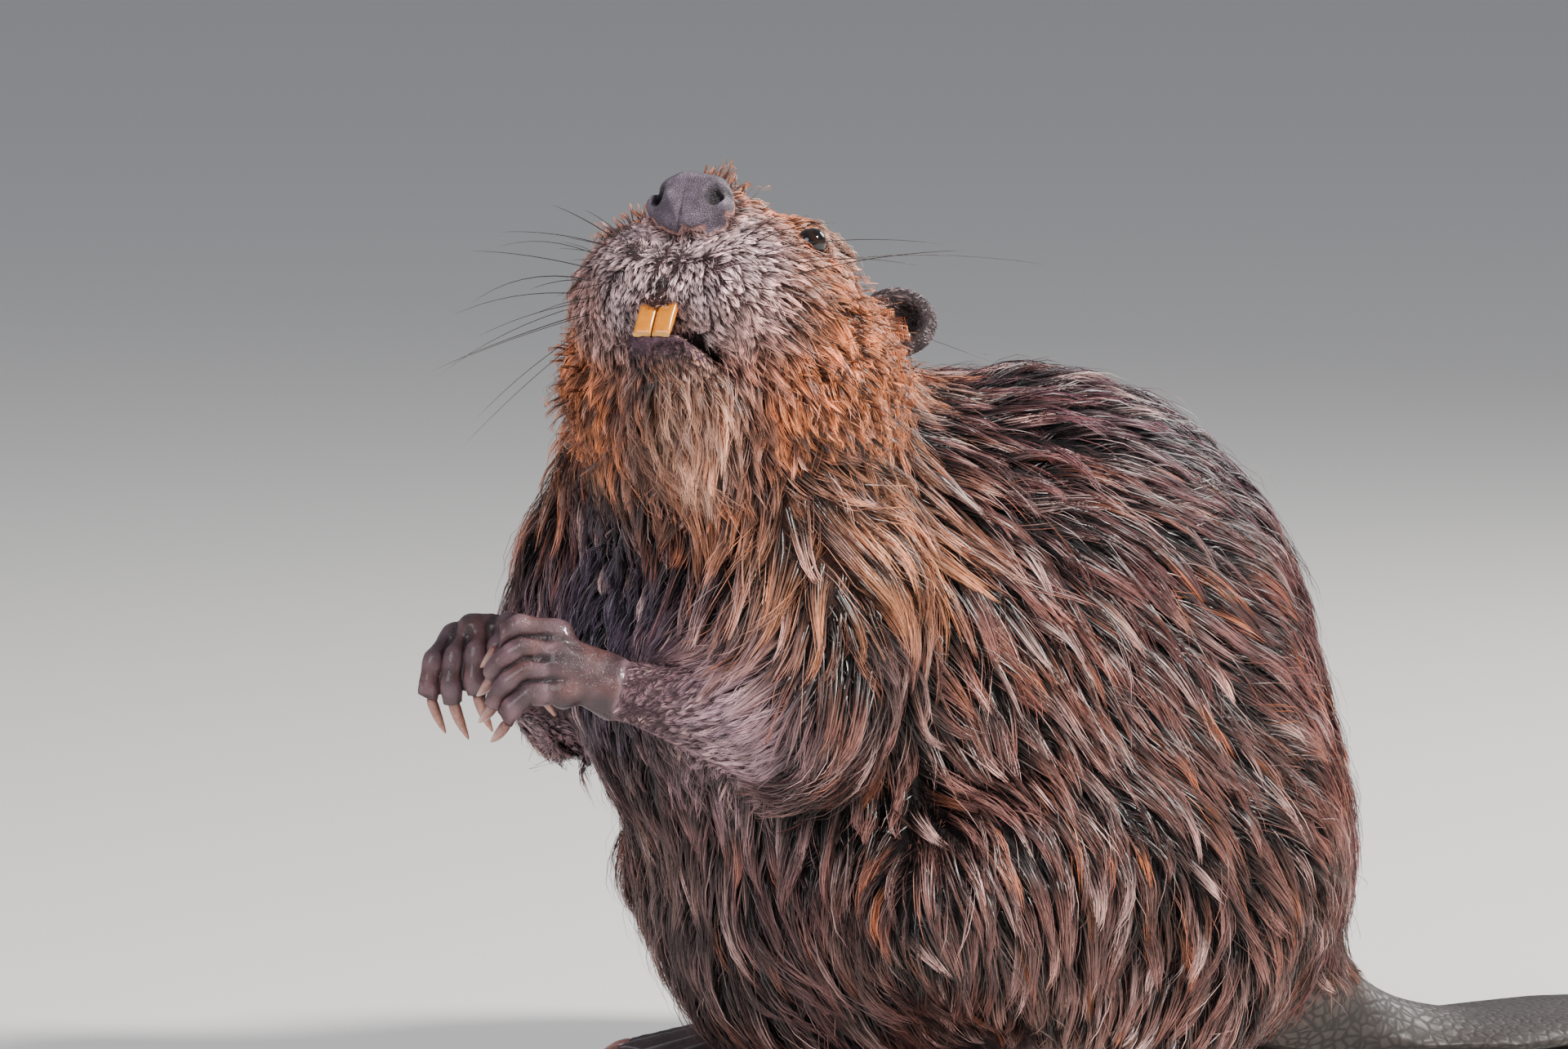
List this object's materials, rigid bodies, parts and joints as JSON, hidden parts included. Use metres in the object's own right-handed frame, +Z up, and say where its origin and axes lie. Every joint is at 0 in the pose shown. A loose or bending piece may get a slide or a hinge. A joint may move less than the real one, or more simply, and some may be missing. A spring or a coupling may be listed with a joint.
{
  "type": "beaver",
  "caption": "Life-size still beaver sitting up on its haunches, head raised and turned to its left, forepaws held together at the chest, broad flat tail behind.",
  "frame": {"origin": "on the floor under the seat, in the mid-plane of the trunk", "axes": "+Z up, the animal faces -Y and its left side is at +X"},
  "size_m": [0.3434, 0.6402, 0.4044],
  "materials": {
    "coat": "matt",
    "bare_skin": "satin",
    "nose_pad": "satin",
    "tail_scales": "satin",
    "eyeball": "gloss",
    "incisor": "gloss",
    "claw": "satin"
  },
  "bodies": {
    "root": {"trunk": "coat", "neck": "coat", "head": "coat", "lower_jaw": "coat", "nose": "nose_pad", "tail": "tail_scales", "ear_left": "coat", "ear_right": "coat", "eye_left": "eyeball", "eye_right": "eyeball", "incisor_left": "incisor", "incisor_right": "incisor", "upper_arm_left": "coat", "upper_arm_right": "coat", "forearm_left": "coat", "forearm_right": "coat", "hand_left": "bare_skin", "hand_right": "bare_skin", "thigh_left": "coat", "thigh_right": "coat", "shank_left": "coat", "shank_right": "coat", "foot_left": "bare_skin", "foot_right": "bare_skin", "claw_hand_left_1": "claw", "claw_hand_left_2": "claw", "claw_hand_left_3": "claw", "claw_hand_left_4": "claw", "claw_hand_left_5": "claw", "claw_hand_right_1": "claw", "claw_hand_right_2": "claw", "claw_hand_right_3": "claw", "claw_hand_right_4": "claw", "claw_hand_right_5": "claw", "claw_foot_left_1": "claw", "claw_foot_left_2": "claw", "claw_foot_left_3": "claw", "claw_foot_left_4": "claw", "claw_foot_left_5": "claw", "claw_foot_right_1": "claw", "claw_foot_right_2": "claw", "claw_foot_right_3": "claw", "claw_foot_right_4": "claw", "claw_foot_right_5": "claw"}
  },
  "joints": []
}
